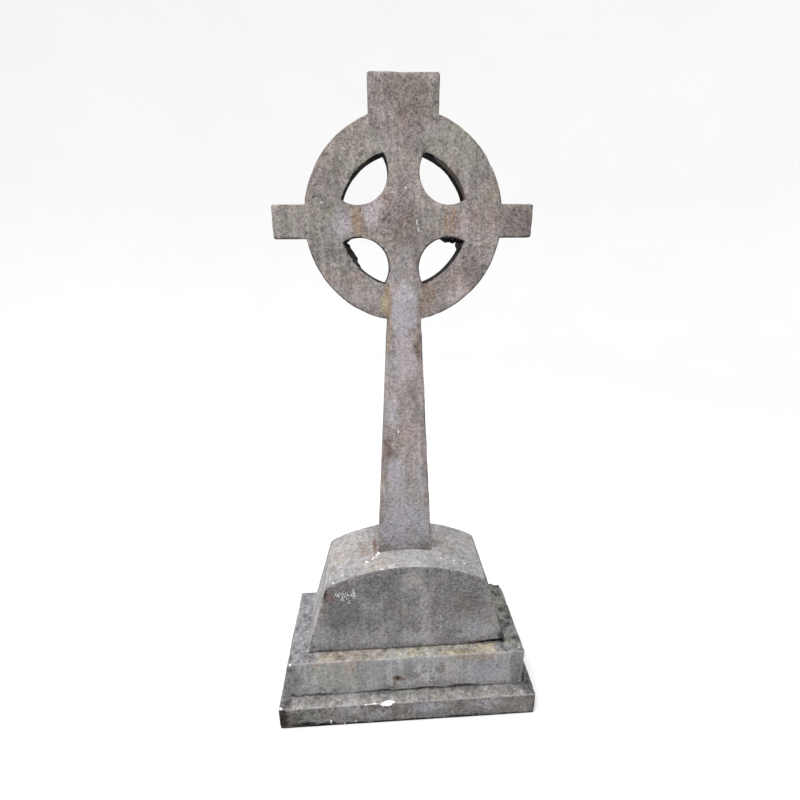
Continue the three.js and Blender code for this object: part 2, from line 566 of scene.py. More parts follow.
# Marks, in millimetres. Each layer has how far its outlines wander, the seed of that wander, and its
# ovals. Spots lie on the front: across, up, half width, half height, strength in hundredths. Blots lie
# anywhere: across, back, up, the three half sizes, strength in hundredths
CROSS_SPOTS = {
    "ochre": (3, 21, [(-119, 1573, 15, 46, 85), (106, 1572, 7, 38, 65), (126, 1572, 9, 40, 75),
        (-44, 1368, 13, 60, 92), (-42, 1290, 10, 70, 75), (66, 1388, 24, 44, 42), (-48, 1150, 7, 90, 30),
        (48, 1362, 10, 40, 50), (16, 610, 13, 56, 35), (-45, 1540, 24, 26, 20)]),
    "umber": (9, 22, [(66, 1392, 34, 40, 60), (44, 1352, 8, 46, 50), (40, 1232, 9, 34, 75),
        (-46, 932, 20, 52, 75), (-8, 1560, 46, 60, 35), (140, 1480, 70, 60, 38), (110, 1430, 60, 40, 30),
        (0, 1690, 44, 60, 22), (-175, 1690, 40, 40, 20), (16, 1110, 34, 60, 35), (0, 1850, 90, 60, 35),
        (-66, 1000, 14, 30, 20), (300, 1570, 50, 60, 30), (10, 600, 10, 50, 20)]),
    "cool": (12, 36, [(0, 650, 100, 110, 90), (-25, 760, 50, 80, 60), (-30, 850, 18, 80, 70),
        (50, 830, 16, 90, 50), (-36, 1180, 26, 60, 50), (-36, 1040, 18, 60, 50), (0, 1330, 40, 90, 60),
        (-60, 1605, 30, 20, 40), (-40, 1575, 40, 40, 35), (185, 1460, 50, 50, 50), (-170, 1560, 40, 50, 40),
        (100, 1760, 60, 50, 30)]),
    "pale": (9, 23, [(-4, 1350, 36, 96, 78), (-42, 1290, 10, 60, 70), (-42, 1372, 14, 54, 75),
        (-160, 1568, 34, 42, 55), (-165, 1640, 30, 30, 35), (-160, 1400, 50, 40, 20),
        (-110, 1380, 60, 30, 40), (120, 1385, 50, 24, 40), (-84, 1585, 24, 30, 60), (0, 1470, 34, 60, 30),
        (-66, 1607, 22, 13, 75), (-36, 1055, 22, 75, 60), (-32, 855, 20, 90, 70), (0, 1000, 90, 330, 32),
        (0, 640, 90, 110, 30), (48, 830, 14, 90, 40), (0, 1215, 44, 80, 60), (-110, 1390, 60, 40, 20),
        (-60, 1745, 60, 34, 30), (80, 1780, 60, 30, 30), (155, 1572, 16, 40, 40), (0, 740, 64, 130, 35),
        (120, 1730, 60, 40, 25), (-280, 1585, 50, 30, 30)]),
    "moss": (12, 24, [(120, 1740, 100, 80, 50), (-110, 1730, 80, 60, 42), (30, 1850, 70, 60, 35),
        (-220, 1600, 60, 70, 40), (40, 620, 30, 50, 30), (-300, 1575, 30, 30, 40), (-40, 1610, 40, 30, 30),
        (215, 1620, 40, 70, 30)]),
    "shade": (9, 27, [(-190, 1630, 46, 60, 45), (300, 1570, 56, 60, 75), (-310, 1570, 40, 50, 40),
        (20, 1770, 30, 90, 40), (215, 1600, 40, 60, 40), (185, 1450, 46, 46, 62), (0, 1870, 90, 34, 55),
        (36, 1080, 16, 70, 60), (0, 1640, 30, 60, 30), (10, 1565, 60, 60, 45), (120, 1440, 60, 40, 30),
        (58, 1000, 10, 240, 45), (-74, 790, 10, 170, 40), (82, 700, 9, 120, 35), (-84, 740, 6, 160, 60),
        (70, 820, 7, 160, 50), (150, 1600, 60, 120, 20), (-60, 1860, 30, 50, 20), (190, 1500, 60, 100, 20),
        (-60, 1000, 8, 60, 30)]),
    "grime": (9, 25, [(-62, 578, 24, 26, 30), (58, 576, 30, 26, 35), (40, 1745, 18, 12, 35),
        (-45, 940, 12, 30, 25)]),
    "lichen": (4, 28, [(-56, 1367, 14, 26, 60), (200, 1450, 20, 30, 10)]),
}
CROSS_BLOTS = {
    "bare": (2, 26, [(-205, -38, 1620, 4, 4, 4, 50), (2, -38, 1652, 3, 3, 5, 45),
        (-18, -38, 985, 5, 4, 9, 50), (-31, -38, 1012, 5, 4, 4, 40), (32, -38, 1569, 3, 3, 12, 52),
        (36, -38, 1553, 3, 3, 13, 50), (8, -38, 898, 3, 3, 5, 35)]),
    # Lumps on the back half of the hollow walls, painted black there as shade
    "lump": (1.2, 29, [(-147, 18, 1508, 14, 50, 20, 105), (-136, 18, 1490, 16, 50, 28, 115),
        (-124, 18, 1472, 12, 50, 16, 50), (130, 18, 1534, 30, 50, 8, 140), (152, 20, 1518, 8, 40, 14, 100)]),
}


def cross_stains(sizes):
    """Runs, smears and pale patches on the front, black walls in the hollows as painted shade, painted shade
    on the sides and undersides, darker at the foot of the shaft, and a plainer back.
    """
    centre = np.array([0, ring_level(sizes)])

    def stains(places, outward):
        front = smooth(0, 0.4, -outward[:, 1])
        back = smooth(0, 0.4, outward[:, 1])
        side = 1 - smooth(0.3, 0.8, np.abs(outward[:, 1]))
        under = side * smooth(0.1, 0.7, -outward[:, 2])
        hooded = smooth(0.25, -0.25, outward[:, 2])
        walls = side * (np.hypot(*(places[:, [0, 2]] - centre).T) < sizes.ring_inner + 6 * MM)
        upper_right = smooth(60 * MM, 100 * MM, places[:, 0]) * (places[:, 2] > centre[1])
        brown = upper_right * smooth(-4 * MM, -22 * MM, places[:, 1])
        foot = smooth(13 * MM, -12 * MM, places[:, 2] - BLOCK_HIGH[2]) * smooth(0.6, 0.1, outward[:, 2])
        rest = (1 - front) * patches(places, 90, 32, 0, 0.8)
        found = marked(places, front, CROSS_SPOTS, CROSS_BLOTS)
        found["ochre"] += 0.4 * rest * (1 - walls)
        found["umber"] += walls * brown
        found["pale"] += 0.5 * back * patches(places, 150, 35, 0, 0.9)
        found["moss"] += 0.5 * rest
        # Lumps only on the hollow walls, which are painted black as shade
        found["lump"] *= walls * (0.88 + 0.12 * patches(places, 12, 34, -0.6, 0.7, 1))
        return strengthened(found, {
            "cool": [0.5 * rest],
            # Painted shade on the sides, most where they face down
            "shade": [0.5 * side * hooded],
            # Painted shade under the limbs, black painted shade on the walls of the hollows, and darker at
            # the foot of the shaft
            "grime": [0.35 * under, 0.22 * foot, walls * (0.75 + 0.4 * hooded) * (1 - brown)],
        })
    return stains


# The plinth


PLINTH_PITCH = 3.9 * MM
PLINTH_RIM_PITCH = 4 * MM
# Shares of the worn edge: all round the block, and round the underside of step and slab
BLOCK_WEAR, UNDERSIDE_WEAR = 1.3, 0.45
FOOT_SHARPNESS = 2.4


def four_sided(form, patch):
    """Gives a form its one patch, with a rim along each of the patch's sides."""
    form.patches.append(patch)
    form.rims += [patch[:, 0], patch[:, -1], patch[0], patch[-1]]
    return form


def block_form(plinth):
    """The block's front is one ruled patch from the level foot to the arched crown. Towards the foot it
    counts as further inside than it is, so that the edge there is sharper than the others."""
    foot, shoulder = BLOCK_HIGH[0], plinth.shoulder_width / 2
    low, high = BLOCK_LOW[2], BLOCK_HIGH[2]
    radius, centre = crown_arc(plinth)
    shoulder_level = high - plinth.crown_rise
    lean = np.array([shoulder_level - low, foot - shoulder])
    lean /= np.hypot(*lean)
    corner = plinth.shoulder_corner

    def inside(flat):
        side = (foot - np.abs(flat[:, 0])) * lean[0] - (flat[:, 1] - low) * lean[1]
        crown = radius - np.hypot(flat[:, 0], flat[:, 1] - centre)
        nearer = np.minimum(side, crown)
        rounded = corner - np.hypot(*np.maximum(corner - np.stack([side, crown]), 0))
        rounded = np.where(nearer < corner, rounded, nearer)
        return np.minimum(rounded, FOOT_SHARPNESS * (flat[:, 1] - low))

    form = Form("plinth_block", BLOCK_HIGH[1] - BLOCK_LOW[1], plinth.edge * BLOCK_WEAR, inside, upright)
    across = graded(2 * foot, PLINTH_PITCH, plinth.edge)
    up = graded(high - low, PLINTH_PITCH, plinth.edge)
    bottom = straight((-foot, low), (foot, low), across)
    crown_x = shoulder * (2 * across - 1)
    top = np.column_stack([crown_x, centre + np.sqrt(radius ** 2 - crown_x ** 2)])
    along_crown = np.array([shoulder_level - centre, shoulder]) / radius
    down_side = np.array([lean[1], -lean[0]])
    corners = [
        ((side * shoulder, shoulder_level), along_crown * (-side, 1), down_side * (side, 1))
        for side in (1, -1)]
    return four_sided(form, round_corners(ruled(bottom, top, up), corners, corner))


def course_form(name, low, high, plinth):
    """A course is a rectangle seen from above, with rounded corners."""
    half_x, half_y = high[:2]

    def inside(flat):
        return box_inside(flat, (0, 0), (half_x, half_y), plinth.corner)

    place = lying((low[2] + high[2]) / 2)
    form = Form(name, high[2] - low[2], plinth.edge, inside, place, back_edge=UNDERSIDE_WEAR)
    across = graded(2 * half_x, PLINTH_PITCH, plinth.edge)
    deep = graded(2 * half_y, PLINTH_PITCH, plinth.edge)
    corners = square_corners([(side * half_x, end * half_y) for side in (1, -1) for end in (1, -1)])
    front = straight((-half_x, -half_y), (half_x, -half_y), across)
    patch = ruled(front, front * np.array([1, -1]), deep)
    return four_sided(form, round_corners(patch, corners, plinth.corner))


BLOCK_SPOTS = {
    "ochre": (14, 67, [(10, 520, 50, 44, 22), (50, 460, 40, 60, 12), (60, 340, 60, 24, 15),
        (120, 340, 14, 16, 15)]),
    "cool": (18, 68, [(240, 290, 90, 50, 50), (50, 275, 50, 34, 50), (-110, 280, 90, 40, 40),
        (260, 400, 30, 60, 40), (50, 400, 40, 60, 30), (-130, 450, 60, 80, 45), (-60, 350, 24, 90, 40),
        (90, 470, 24, 60, 40), (-280, 300, 40, 50, 50), (-190, 330, 30, 80, 35), (-240, 400, 20, 60, 30)]),
    "umber": (12, 42, [(-165, 350, 50, 70, 12), (180, 400, 70, 80, 40), (20, 470, 40, 60, 12),
        (-250, 462, 24, 28, 60), (40, 330, 90, 30, 20), (-30, 560, 60, 12, 20)]),
    "pale": (14, 43, [(20, 515, 44, 50, 45), (40, 440, 50, 80, 30), (40, 275, 90, 40, 40),
        (-110, 270, 90, 30, 30), (-270, 300, 50, 50, 25), (230, 290, 80, 36, 40), (60, 360, 40, 40, 20),
        (170, 330, 30, 20, 30)]),
    "moss": (16, 44, [(25, 500, 70, 90, 15), (60, 330, 70, 40, 20), (-180, 350, 60, 70, 15),
        (-270, 310, 50, 70, 30), (310, 300, 30, 70, 35), (300, 450, 30, 60, 30)]),
    "shade": (16, 48, [(-90, 500, 90, 70, 68), (-200, 400, 70, 100, 75), (120, 440, 60, 80, 40),
        (220, 420, 70, 70, 60), (0, 548, 280, 14, 35), (-60, 420, 40, 110, 50), (-60, 290, 10, 40, 50),
        (-40, 280, 5, 40, 40), (240, 500, 60, 30, 40), (-140, 380, 60, 60, 40), (120, 560, 20, 20, 20)]),
    "grime": (4, 45, [(-262, 474, 12, 26, 60), (-250, 240, 110, 5, 45), (0, 237, 340, 4, 40),
        (285, 243, 54, 9, 120), (220, 240, 40, 6, 50), (120, 238, 60, 4, 30), (-60, 238, 60, 4, 30),
        (318, 262, 16, 22, 60)]),
    "scuff": (3, 49, [(-172, 466, 9, 22, 100), (-205, 470, 34, 12, 90), (-200, 456, 26, 16, 90),
        (-215, 425, 24, 10, 40), (-185, 440, 12, 14, 70), (-150, 300, 60, 40, 20), (150, 340, 60, 30, 20)]),
}
BLOCK_BLOTS = {
    "rust": (8, 66, [(-100, 0, 556, 13, 50, 22, 100), (-150, -20, 545, 40, 60, 20, 30),
        (-20, -117, 565, 14, 5, 5, 60), (60, 96, 560, 40, 20, 12, 30), (120, -60, 552, 30, 30, 12, 25)]),
    "bare": (3.5, 47, [(-80, -123, 561, 8, 4, 3, 70), (143, -123, 545, 9, 4, 3, 75),
        (-337, -123, 240, 7, 7, 9, 90), (-331, -123, 258, 3, 3, 10, 50), (-90, -41, 559, 7, 8, 5, 90),
        (-98, -48, 558, 8, 3, 4, 80), (-102, -57, 556, 9, 3, 4, 75), (-110, -62, 555, 4, 6, 4, 70),
        (-120, -72, 552, 8, 3, 3, 70), (-129, -68, 550, 3, 6, 3, 60), (-84, -62, 559, 2, 5, 3, 50),
        (-96, -74, 557, 3, 3, 3, 50), (-232, -112, 512, 5, 4, 4, 45), (160, -70, 541, 5, 5, 4, 66),
        (112, -74, 553, 5, 5, 4, 66), (190, -74, 531, 5, 5, 4, 70), (125, -96, 551, 4, 5, 4, 60),
        (-205, -96, 526, 5, 5, 4, 70), (20, -100, 566, 4, 5, 4, 50)]),
    "seam": (3, 50, [(288, -123, 235, 54, 30, 8, 60), (318, -123, 243, 18, 20, 9, 50),
        (100, -123, 234, 60, 20, 4, 20)]),
}


def block_stains(places, outward):
    """Dark face with a paler middle, a rusty corner, scuffs and grime along the bed joint; the crown and the
    side facing left painted paler as lit, the side facing right painted in shade, and darker towards the
    foot.
    """
    front = smooth(0.2, 0.8, -outward[:, 1])
    top = smooth(0.4, 0.9, outward[:, 2])
    left = smooth(0.3, 0.8, -outward[:, 0])
    right = smooth(0.3, 0.8, outward[:, 0])
    across, above_bed = places[:, 0], places[:, 2] - STEP_HIGH[2]
    right_half = smooth(0, 160 * MM, across)
    right_edge = smooth(20 * MM, 6 * MM, (BLOCK_HIGH[0] - across) * 0.96 - above_bed * 0.28)
    middle = smooth(130 * MM, 50 * MM, np.abs(across)) * smooth(0, -30 * MM, places[:, 1])
    mottle = cloud(places, 60 * MM, 46, 2)
    # Painted light on the crown: paler as lit from above, a little less on the right half and more in the
    # front middle, with a mottle
    washed_and_lit = 0.58 - 0.06 * right_half + 0.12 * mottle + 0.16 * middle
    found = marked(places, front, BLOCK_SPOTS, BLOCK_BLOTS)
    return strengthened(found, {
        "ochre": [0.42 * top * patches(places, 60, 41, 0.1, 0.8)],
        "cool": [0.4 * top * patches(places, 100, 69, -0.2, 0.7, 1)],
        "umber": [0.42 * top * smooth(0.4, 0.9, mottle), found.pop("rust")],
        # Painted light: the crown and the side facing left are painted paler as lit
        "pale": [top * washed_and_lit, left * (0.5 + 0.3 * mottle)],
        "moss": [0.15 * top * right_half, 0.3 * front * right_edge],
        # Painted shade on the side facing right, and a darker mottle on the crown
        "shade": [0.2 * right, 0.25 * top * patches(places, 50, 63, -0.2, 0.9)],
        # Darker towards the foot, where the block meets the step
        "grime": [0.25 * (1 - top) * smooth(18 * MM, 0, above_bed)],
    })


STEP_SPOTS = {
    "ochre": (5, 52, [(-305, 214, 9, 22, 60), (-248, 210, 7, 20, 60), (-204, 212, 7, 26, 60),
        (-185, 206, 9, 30, 60), (-142, 214, 8, 24, 50), (-230, 226, 110, 9, 50), (230, 222, 100, 14, 45)]),
    "umber": (4, 53, [(-36, 144, 18, 13, 100), (-45, 120, 4, 30, 80), (-16, 140, 10, 6, 90),
        (110, 178, 20, 24, 40), (-380, 160, 20, 70, 30), (100, 112, 60, 14, 25), (-60, 104, 16, 8, 60),
        (-230, 216, 90, 12, 25)]),
    "cool": (14, 85, [(270, 150, 80, 50, 70), (60, 160, 40, 50, 40), (-120, 170, 40, 50, 40),
        (330, 190, 40, 40, 50)]),
    "pale": (14, 54, [(150, 150, 60, 40, 25), (-40, 175, 60, 40, 20), (270, 140, 60, 40, 20),
        (-330, 200, 60, 30, 15), (-150, 150, 30, 50, 15)]),
    "moss": (14, 55, [(-230, 150, 90, 60, 50), (-190, 120, 30, 40, 40), (200, 212, 100, 26, 40),
        (-290, 205, 40, 26, 50), (-140, 215, 40, 12, 40), (-10, 150, 30, 60, 30), (375, 160, 20, 80, 30)]),
    "shade": (10, 60, [(108, 176, 22, 30, 60), (6, 175, 24, 60, 80), (-40, 175, 24, 50, 55),
        (70, 190, 20, 40, 30), (370, 160, 30, 90, 100), (250, 165, 90, 50, 30), (-378, 170, 24, 80, 80),
        (-340, 150, 24, 60, 30), (100, 112, 90, 14, 45), (-50, 112, 60, 16, 40), (170, 112, 60, 12, 35),
        (-200, 95, 180, 8, 30)]),
    "grime": (3, 57, [(-88, 94, 34, 7, 85), (0, 92, 40, 6, 70), (60, 94, 60, 6, 80), (185, 97, 60, 7, 70),
        (0, 89, 400, 4, 50), (-389, 205, 5, 14, 70), (-392, 96, 16, 9, 80), (-300, 92, 70, 5, 50),
        (-36, 143, 11, 8, 70), (375, 130, 20, 60, 30)]),
}
STEP_BLOTS = {
    "bare": (2.5, 59, [(-388, -159, 231, 6, 6, 9, 90), (-391, -160, 205, 3, 3, 10, 50),
        (-280, -160, 232, 5, 4, 3, 50), (220, -145, 233, 6, 4, 3, 50), (378, -140, 233, 6, 8, 3, 50),
        (-300, -140, 233, 4, 3, 3, 45), (-391, -161, 150, 2, 2, 14, 40)]),
    "seam": (3, 62, [(390, 160, 232, 26, 26, 20, 80), (-90, -161, 88, 34, 20, 5, 50),
        (70, -161, 88, 56, 20, 4, 50), (195, -161, 88, 50, 20, 6, 50), (-300, -161, 87, 60, 20, 3, 30)]),
}


def step_stains(places, outward):
    """Short rusty drips below the top edge, a brown smudge, and lichen and rust along the ledge; the top
    painted paler as lit, a painted highlight along the front's top edge, and painted shade on the ledges
    beside the block.
    """
    front = smooth(0.2, 0.8, -outward[:, 1])
    top = smooth(0.5, 0.9, outward[:, 2])
    across = places[:, 0]
    left, right = smooth(0, -100 * MM, across), smooth(-60 * MM, 60 * MM, across)
    beside_block = smooth(280 * MM, 320 * MM, np.abs(across))
    ledge = top * smooth(BLOCK_LOW[1] + 15 * MM, BLOCK_LOW[1] + MM, places[:, 1])
    front_ledge, ends = ledge * (1 - beside_block), top * beside_block
    lip = front * smooth(12 * MM, 3 * MM, STEP_HIGH[2] - places[:, 2])
    patchy = patches(places, 30, 51, -1.0, 0.4, 3)
    crusty = patches(places, 50, 86, -0.8, 0.6)
    return strengthened(marked(places, front, STEP_SPOTS, STEP_BLOTS), {
        "cool": [0.7 * ends * (1 - right)],
        "ochre": [0.5 * front_ledge * left * (0.5 + 0.5 * patchy)],
        "umber": [0.5 * ledge * patches(places, 30, 56, -0.2, 0.7)],
        # Painted light: the top painted paler as lit, and a painted highlight along the top of the front
        "pale": [0.36 * top, 0.5 * lip],
        "moss": [0.6 * ends * right * patchy],
        # Painted shade on the ledges beside the block, more on the right
        "shade": [ends * (0.5 + 0.3 * right)],
        # Patchy painted shade on the same ledges, more on the right
        "grime": [ends * (0.2 + 0.32 * right) * patches(places, 30, 58, -0.5, 0.6)],
        "lichen": [0.72 * front_ledge * (0.5 + 0.5 * right) * (0.6 + 0.4 * crusty)],
        "scuff": [0.25 * ledge],
    })


SLAB_SPOTS = {
    "umber": (4, 72, [(-60, 62, 34, 6, 55), (-20, 60, 30, 5, 35), (400, 45, 30, 40, 30),
        (-240, 60, 60, 20, 25)]),
    "cool": (16, 87, [(-200, 58, 60, 24, 60), (-100, 40, 60, 26, 60), (70, 50, 50, 30, 70),
        (270, 55, 70, 30, 70)]),
    "pale": (14, 73, [(80, 55, 60, 24, 25), (240, 50, 40, 24, 20), (330, 50, 60, 26, 20),
        (-190, 60, 50, 20, 20)]),
    "moss": (12, 74, [(-240, 40, 60, 24, 25), (385, 45, 40, 36, 35), (-340, 45, 70, 40, 35),
        (-20, 45, 40, 30, 20), (150, 40, 40, 40, 25)]),
    "shade": (14, 78, [(-340, 50, 60, 40, 50), (-240, 40, 50, 40, 40), (410, 45, 24, 50, 60),
        (-120, 40, 60, 30, 30), (160, 50, 40, 34, 40), (300, 40, 30, 34, 30), (0, 20, 430, 18, 35)]),
    "grime": (5, 75, [(-415, 45, 24, 60, 75), (-385, 40, 40, 50, 40), (-340, 10, 90, 14, 70),
        (-300, 8, 70, 12, 80), (0, 3, 440, 7, 75), (170, 8, 60, 10, 70), (-425, 40, 14, 50, 70),
        (170, 60, 14, 24, 35), (-392, 70, 8, 20, 50), (-90, 72, 40, 6, 35), (425, 30, 8, 40, 40)]),
}
SLAB_BLOTS = {
    "bare": (1.8, 77, [(-77, -203, 80, 23, 9, 10, 100), (-70, -199, 86, 25, 10, 7, 100),
        (-122, -203, 86, 26, 7, 4, 95), (-143, -202, 86, 8, 5, 3, 80), (-422, -197, 86, 7, 6, 4, 80),
        (-260, -203, 17, 3, 4, 11, 75), (-215, -203, 3, 5, 4, 4, 50), (-178, -203, 8, 4, 4, 5, 55),
        (-330, -203, 84, 6, 4, 3, 45), (-238, -203, 80, 6, 4, 4, 45), (330, -203, 85, 9, 4, 2, 45)]),
}


def slab_stains(places, outward):
    """Soil on the left end, darker along the ground, a ledge painted pale as lit with a painted highlight
    along its front edge, painted shade beside the step, and the large white chip on its edge.
    """
    front = smooth(0.2, 0.8, -outward[:, 1])
    top = smooth(0.5, 0.9, outward[:, 2])
    past_step = np.abs(places[:, :2]) - STEP_HIGH[:2]
    ends = top * smooth(-17 * MM, 3 * MM, past_step[:, 0])
    near_step = top * smooth(30 * MM, 0, past_step.max(axis=1))
    lip = front * smooth(10 * MM, 2 * MM, SLAB_HIGH[2] - places[:, 2])
    near_ground = (1 - top) * smooth(20 * MM, 0, places[:, 2])
    return strengthened(marked(places, front, SLAB_SPOTS, SLAB_BLOTS), {
        "cool": [0.4 * ends],
        "ochre": [0.25 * top * patches(places, 80, 71, 0.2, 0.9, 1)],
        # Painted light: the top painted paler as lit, and a painted highlight along the top of the front
        "pale": [0.44 * top, 0.5 * lip],
        "moss": [0.35 * top * patches(places, 60, 76, 0, 0.8)],
        # Painted shade on the end ledges beside the step and, patchy, close to its foot
        "shade": [0.7 * ends + 0.5 * near_step * patches(places, 50, 79, -0.4, 0.6, 1)],
        # Darker along the ground, and patchy painted shade on the end ledges and close to the step
        "grime": [0.6 * near_ground, (0.35 * ends + 0.4 * near_step) * patches(places, 30, 80, -0.2, 0.8)],
        "scuff": [0.3 * top],
    })


# Materials


# Settings of the nodes used most, and the numbers of their sockets
MIX = {"kind": "ShaderNodeMix", "output": 2, "data_type": "RGBA"}
MULTIPLY = {**MIX, "blend_type": "MULTIPLY"}
FACTOR, FIRST, SECOND = 0, 6, 7
RANGE = {"kind": "ShaderNodeMapRange", "interpolation_type": "SMOOTHSTEP"}
VALUE, LOW, HIGH, TO_LOW, TO_HIGH = range(5)
CLOUD = {"kind": "ShaderNodeTexNoise", "noise_dimensions": "4D"}
TIMES_PLUS = {"kind": "ShaderNodeMath", "operation": "MULTIPLY_ADD"}
TIMES = {"kind": "ShaderNodeMath", "operation": "MULTIPLY"}


def add(tree, kind, inputs=(), output=0, **settings):
    """Adds a shader node with its settings and gives one of its outputs. An input is linked where a
    socket is given for it, and set where a value is given."""
    made = tree.nodes.new(kind)
    for name, value in settings.items():
        setattr(made, name, value)
    for key, value in dict(inputs).items():
        socket = made.inputs[key]
        if isinstance(value, bpy.types.NodeSocket):
            tree.links.new(value, socket)
        elif socket.type == "RGBA":
            socket.default_value = (*value[:3], 1)
        else:
            socket.default_value = value
    return made.outputs[output] if made.outputs else None


def blank_material(name):
    """A material whose node tree is still empty, and the tree."""
    material = bpy.data.materials.new(name)
    material.use_nodes = True
    material.node_tree.nodes.clear()
    return material, material.node_tree


def toned(body, tint):
    """A colour with the tint's hue and the body's lightness."""
    weights = (0.2126, 0.7152, 0.0722)
    share = np.dot(body, weights) / np.dot(tint, weights)
    return tuple(share * part for part in tint)


def covered(tree, paint, value, start, full, share, tint):
    """Paint that a tint covers up to a share, as a value rises from where it starts to where it is full."""
    inputs = {VALUE: value, LOW: start, HIGH: full, TO_HIGH: share}
    return add(tree, inputs={FACTOR: add(tree, inputs=inputs, **RANGE), FIRST: paint, SECOND: tint}, **MIX)


def textured_coat(name, body, wash_and_light, finish, hue, grit, ledge_grit):
    """Sand-filled masonry coat over foam, sprayed and sponged as weathered stone: dead matt, a salt and
    pepper grain of 4 to 8 mm, cloudy washes of warm and cool grey, faint upright rain streaks. hue is
    the strength of the tinted washes, grit of the grain, and ledge_grit of the crust on level tops."""
    material, tree = blank_material(name)
    where = add(tree, "ShaderNodeTexCoord", output="Object")
    drawn_out = add(tree, "ShaderNodeMapping", {"Vector": where, "Scale": (1, 1, 0.09)})
    fields = {
        layer: add(tree, "ShaderNodeAttribute", output="Fac", attribute_name=layer) for layer in LAYERS}
    deep, light = (tuple(share * part for part in body) for share in (0.64, 1.34))
    warm, green, cold = (toned(body, tint) for tint in (finish.pink_brown, finish.moss, finish.blue_grey))

    # Washes: pattern in mm, where it starts and is full, how much it covers, its colour
    washes = [
        (150, 0.42, 0.66, 0.6, deep), (110, 0.46, 0.68, 0.65, light), (75, 0.46, 0.68, hue, warm),
        (60, 0.50, 0.70, 0.6 * hue, green), (50, 0.50, 0.72, hue, cold), (26, 0.48, 0.72, 0.42, deep),
        (20, 0.50, 0.74, 0.4, light)]
    paint = body
    for seed, (size, start, full, cover, tint) in enumerate(washes):
        inputs = {"Vector": where, "W": seed, "Scale": 1 / (size * MM), "Detail": 4}
        paint = covered(tree, paint, add(tree, inputs=inputs, **CLOUD), start, full, cover, tint)

    # Rain streaks: the same noise drawn out upright, broad and narrow
    for seed, size, depth in ((7, 34, 0.12), (8, 10, 0.11)):
        inputs = {"Vector": drawn_out, "W": seed, "Scale": 1 / (size * MM), "Detail": 3}
        cloudy = add(tree, inputs=inputs, **CLOUD)
        inputs = {VALUE: cloudy, LOW: 0.35, HIGH: 0.65, TO_LOW: 1 - depth, TO_HIGH: 1 + depth}
        streak = add(tree, inputs=inputs, **RANGE)
        paint = add(tree, inputs={FACTOR: 1, FIRST: paint, SECOND: streak}, **MULTIPLY)

    # Broken noise: grain in mm, detail and roughness
    noises = []
    kinds = ((11, 4, 0.7), (9, 5, 0.72), (3.4, 2, 0.5), (19, 5, 0.65))
    for seed, (size, detail, rough) in enumerate(kinds, 11):
        inputs = {"Vector": where, "W": seed, "Scale": 1 / (size * MM), "Detail": detail, "Roughness": rough}
        noises.append(add(tree, inputs=inputs, **CLOUD))
    ragged, coarse, fine, lumpy = noises

    # Stains, some of which also paint light and shade (lit tops and sides in the pale layer, shade in the
    # shade and grime layers): colour, cover, and how far the noise tears each field's outline
    stains = {
        "pale": (wash_and_light, 0.9, 0.7), "cool": (finish.blue_grey, 0.85, 0.7), "shade": (deep, 1.0, 0.8),
        "moss": (finish.moss, 0.75, 0.9), "umber": (finish.umber, 0.85, 1.0),
        "ochre": (finish.ochre, 0.9, 0.7), "lichen": (finish.lichen, 0.85, 1.2),
        "grime": (finish.soot_and_shade, 1.0, 1.1)}
    for layer, (tint, cover, tear) in stains.items():
        torn = add(tree, inputs={0: ragged, 1: tear, 2: fields[layer]}, **TIMES_PLUS)
        paint = covered(tree, paint, torn, 0.5 * tear + 0.08, 0.5 * tear + 0.95, cover, tint)

    # Grain: dark pores and light sand, softer where the surface is washed pale or painted as lit, coarser on
    # ledges
    grain = add(tree, inputs={0: coarse, 1: 0.9, 2: fine}, **TIMES_PLUS)
    sanded = add(tree, inputs={VALUE: grain, LOW: 0.62, HIGH: 1.28, TO_LOW: 0.1, TO_HIGH: 1.95}, **RANGE)
    grained = add(tree, inputs={FACTOR: 1, FIRST: paint, SECOND: sanded}, **MULTIPLY)
    calm = add(tree, inputs={0: fields["pale"], 1: -0.5 * grit, 2: grit}, **TIMES_PLUS)
    paint = add(tree, inputs={FACTOR: calm, FIRST: paint, SECOND: grained}, **MIX)
    crust = add(tree, inputs={VALUE: lumpy, LOW: 0.3, HIGH: 0.7, TO_LOW: 0.4, TO_HIGH: 1.6}, **RANGE)
    crusted = add(tree, inputs={FACTOR: 1, FIRST: paint, SECOND: crust}, **MULTIPLY)
    level = add(tree, inputs={0: fields["sky"], 1: ledge_grit}, **TIMES)
    paint = add(tree, inputs={FACTOR: level, FIRST: paint, SECOND: crusted}, **MIX)
    # Painted shade in the relief: darker where the sand texture and pits sink in, a touch lighter where it
    # stands up
    inputs = {VALUE: fields["hollow"], LOW: 0.5, HIGH: 1, TO_LOW: 1.06, TO_HIGH: 0.7}
    paint = add(tree, inputs={FACTOR: 1, FIRST: paint, SECOND: add(tree, inputs=inputs, **RANGE)}, **MULTIPLY)

    # Edges: a painted highlight where they face up and to the left, painted shade on the others, most where
    # they face down or to the right
    paint = covered(tree, paint, fields["rim"], 0.1, 0.9, 0.6, wash_and_light)
    paint = covered(tree, paint, fields["dim"], 0.1, 0.9, 0.74, finish.soot_and_shade)

    # Light sand grains and rare white flecks: spacing in mm, radius, share left out, colour
    for size, radius, bare, tint in ((7, 0.34, 0.6, light), (14, 0.2, 0.9, finish.bare_core)):
        cells = add(tree, "ShaderNodeTexVoronoi", {"Vector": where, "Scale": 1 / (size * MM)}).node.outputs
        dot = add(tree, inputs={VALUE: cells["Distance"], LOW: radius, HIGH: radius / 2}, **RANGE)
        inputs = {VALUE: cells["Color"], LOW: bare, HIGH: bare + 0.05, TO_HIGH: 0.5}
        rare = add(tree, inputs=inputs, **RANGE)
        fleck = add(tree, inputs={0: dot, 1: rare}, **TIMES)
        paint = add(tree, inputs={FACTOR: fleck, FIRST: paint, SECOND: tint}, **MIX)

